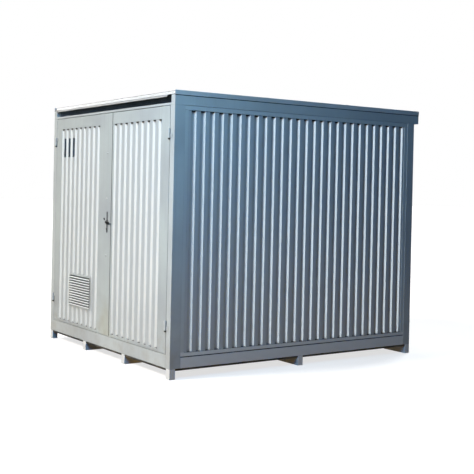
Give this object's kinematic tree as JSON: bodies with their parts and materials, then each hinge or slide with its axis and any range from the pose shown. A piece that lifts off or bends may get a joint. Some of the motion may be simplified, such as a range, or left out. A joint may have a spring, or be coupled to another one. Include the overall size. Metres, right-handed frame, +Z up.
{
  "type": "transformer kiosk",
  "caption": "Walk-in corrugated steel kiosk on short feet with two hinged door leaves, a louvre and a lever lock, housing an oil transformer with high- and low-voltage cabinets.",
  "frame": {"origin": "middle of the bounding box, on the plane that the feet stand on", "axes": "+Z up, doors face -Y, +Y along the longer side to the rear, +X to the right seen from the doors"},
  "size_m": [2.442, 3.079, 2.538],
  "materials": {
    "frame_paint": "semi-gloss light grey paint",
    "door_paint": "semi-gloss light grey paint",
    "sheet_paint": "glossy coil-coated light grey sheet",
    "roof_paint": "glossy coil-coated light grey sheet",
    "pan_steel": "dark bitumen paint",
    "floor_steel": "worn grey floor paint",
    "gland_aluminium": "mill finish",
    "mesh_steel": "dark woven wire mesh",
    "seal_rubber": "matt black",
    "hinge_steel": "painted over steel",
    "zinc_steel": "zinc plated",
    "black_paint": "black powder coat",
    "tank_paint": "semi-gloss grey paint",
    "core_steel": "stacked steel laminations",
    "winding_copper": "copper",
    "porcelain": "brown glaze",
    "cabinet_paint": "textured light grey powder coat",
    "epoxy": "cast resin",
    "moulding_grey": "moulded plastic",
    "moulding_black": "moulded plastic",
    "lever_red": "red grip",
    "rod_sleeve": "black shrink sleeve"
  },
  "bodies": {
    "enclosure": {"base_frame": "frame_paint", "cabinet_hinges": "hinge_steel", "cooling_fins": "tank_paint", "corner_posts": "frame_paint", "door_seals": "seal_rubber", "door_stops": "frame_paint", "feet": "frame_paint", "floor_plate": "floor_steel", "front_flashing": "roof_paint", "front_header": "frame_paint", "front_sill": "frame_paint", "gland_plates": "gland_aluminium", "hinge_post_halves": "hinge_steel", "hv_bus_rods": "rod_sleeve", "hv_bushings": "porcelain", "hv_cabinet": "cabinet_paint", "hv_switch": "epoxy", "iron_core": "core_steel", "left_wall_sheet": "sheet_paint", "lv_breakers": "moulding_grey", "lv_busbars": "winding_copper", "lv_bushings": "porcelain", "lv_cabinet": "cabinet_paint", "rear_wall_sheet": "sheet_paint", "right_wall_sheet": "sheet_paint", "roof_frame": "frame_paint", "roof_sheet": "roof_paint", "sump_pan": "pan_steel", "tank_cover": "tank_paint", "transformer_base": "black_paint", "transformer_tank": "tank_paint", "vent_mesh": "mesh_steel", "wall_girts": "frame_paint", "wall_trim": "frame_paint", "windings": "winding_copper"},
    "left_door": {"left_door_frame": "door_paint", "left_door_sheet": "sheet_paint", "left_door_hinges": "hinge_steel", "louvre_frame": "door_paint", "louvre_blades": "door_paint", "insect_screens": "mesh_steel", "lock_case": "zinc_steel", "escutcheon_plate": "black_paint", "lock_rod_guides": "zinc_steel", "stile_bolts": "zinc_steel"},
    "right_door": {"right_door_frame": "door_paint", "right_door_sheet": "sheet_paint", "right_door_hinges": "hinge_steel", "keeper_and_bolt_guides": "zinc_steel"},
    "door_lever": {"door_lever": "black_paint"},
    "upper_lock_rod": {"upper_lock_rod": "zinc_steel"},
    "lower_lock_rod": {"lower_lock_rod": "zinc_steel"},
    "lock_bolt": {"lock_bolt": "zinc_steel"},
    "top_shoot_bolt": {"top_shoot_bolt": "zinc_steel"},
    "bottom_shoot_bolt": {"bottom_shoot_bolt": "zinc_steel"},
    "hv_cabinet_door": {"hv_cabinet_door": "cabinet_paint"},
    "lv_cabinet_door": {"lv_cabinet_door": "cabinet_paint"},
    "hv_switch_lever": {"hv_switch_lever": "lever_red"},
    "breaker_toggle": {"breaker_toggle": "moulding_black"},
    "tap_knob": {"tap_knob": "moulding_black"}
  },
  "joints": [
    {"name": "left_door_swing", "type": "hinge", "parent": "enclosure", "child": "left_door", "pos_m": [-1.1465, -1.5275, 1.3], "axis": [0, 0, -1], "range_deg": [0, 170]},
    {"name": "right_door_swing", "type": "hinge", "parent": "enclosure", "child": "right_door", "pos_m": [1.1465, -1.5275, 1.3], "axis": [0, 0, 1], "range_deg": [0, 170]},
    {"name": "door_lever_turn", "type": "hinge", "parent": "left_door", "child": "door_lever", "pos_m": [0.034, -1.5175, 1.33], "axis": [0, 1, 0], "range_deg": [0, 90]},
    {"name": "upper_rod_throw", "type": "slide", "parent": "left_door", "child": "upper_lock_rod", "axis": [0, 0, 1], "range_m": [0, 0.02]},
    {"name": "lower_rod_throw", "type": "slide", "parent": "left_door", "child": "lower_lock_rod", "axis": [0, 0, -1], "range_m": [0, 0.02]},
    {"name": "lock_bolt_throw", "type": "slide", "parent": "left_door", "child": "lock_bolt", "axis": [1, 0, 0], "range_m": [0, 0.018]},
    {"name": "top_shoot_bolt_slide", "type": "slide", "parent": "right_door", "child": "top_shoot_bolt", "axis": [0, 0, 1], "range_m": [0, 0.02]},
    {"name": "bottom_shoot_bolt_slide", "type": "slide", "parent": "right_door", "child": "bottom_shoot_bolt", "axis": [0, 0, -1], "range_m": [0, 0.02]},
    {"name": "hv_cabinet_door_swing", "type": "hinge", "parent": "enclosure", "child": "hv_cabinet_door", "pos_m": [0.744, -0.632, 1], "axis": [0, 0, -1], "range_deg": [0, 110]},
    {"name": "lv_cabinet_door_swing", "type": "hinge", "parent": "enclosure", "child": "lv_cabinet_door", "pos_m": [-0.744, -0.632, 1], "axis": [0, 0, 1], "range_deg": [0, 110]},
    {"name": "hv_switch_lever_turn", "type": "hinge", "parent": "enclosure", "child": "hv_switch_lever", "pos_m": [0.8, -0.95, 1.15], "axis": [1, 0, 0], "range_deg": [0, 90]},
    {"name": "breaker_toggle_tilt", "type": "hinge", "parent": "enclosure", "child": "breaker_toggle", "pos_m": [-0.982, -0.95, 1.485], "axis": [0, 1, 0], "range_deg": [-30, 30]},
    {"name": "tap_knob_turn", "type": "hinge", "parent": "enclosure", "child": "tap_knob", "pos_m": [0.4, 0.9, 1.13], "axis": [0, 0, 1], "range_deg": [-72, 72]}
  ],
  "couplings": [
    {"joint": "upper_rod_throw", "follows": "door_lever_turn", "m_per_rad": 0.012732},
    {"joint": "lower_rod_throw", "follows": "door_lever_turn", "m_per_rad": 0.012732},
    {"joint": "lock_bolt_throw", "follows": "door_lever_turn", "m_per_rad": 0.011459}
  ]
}
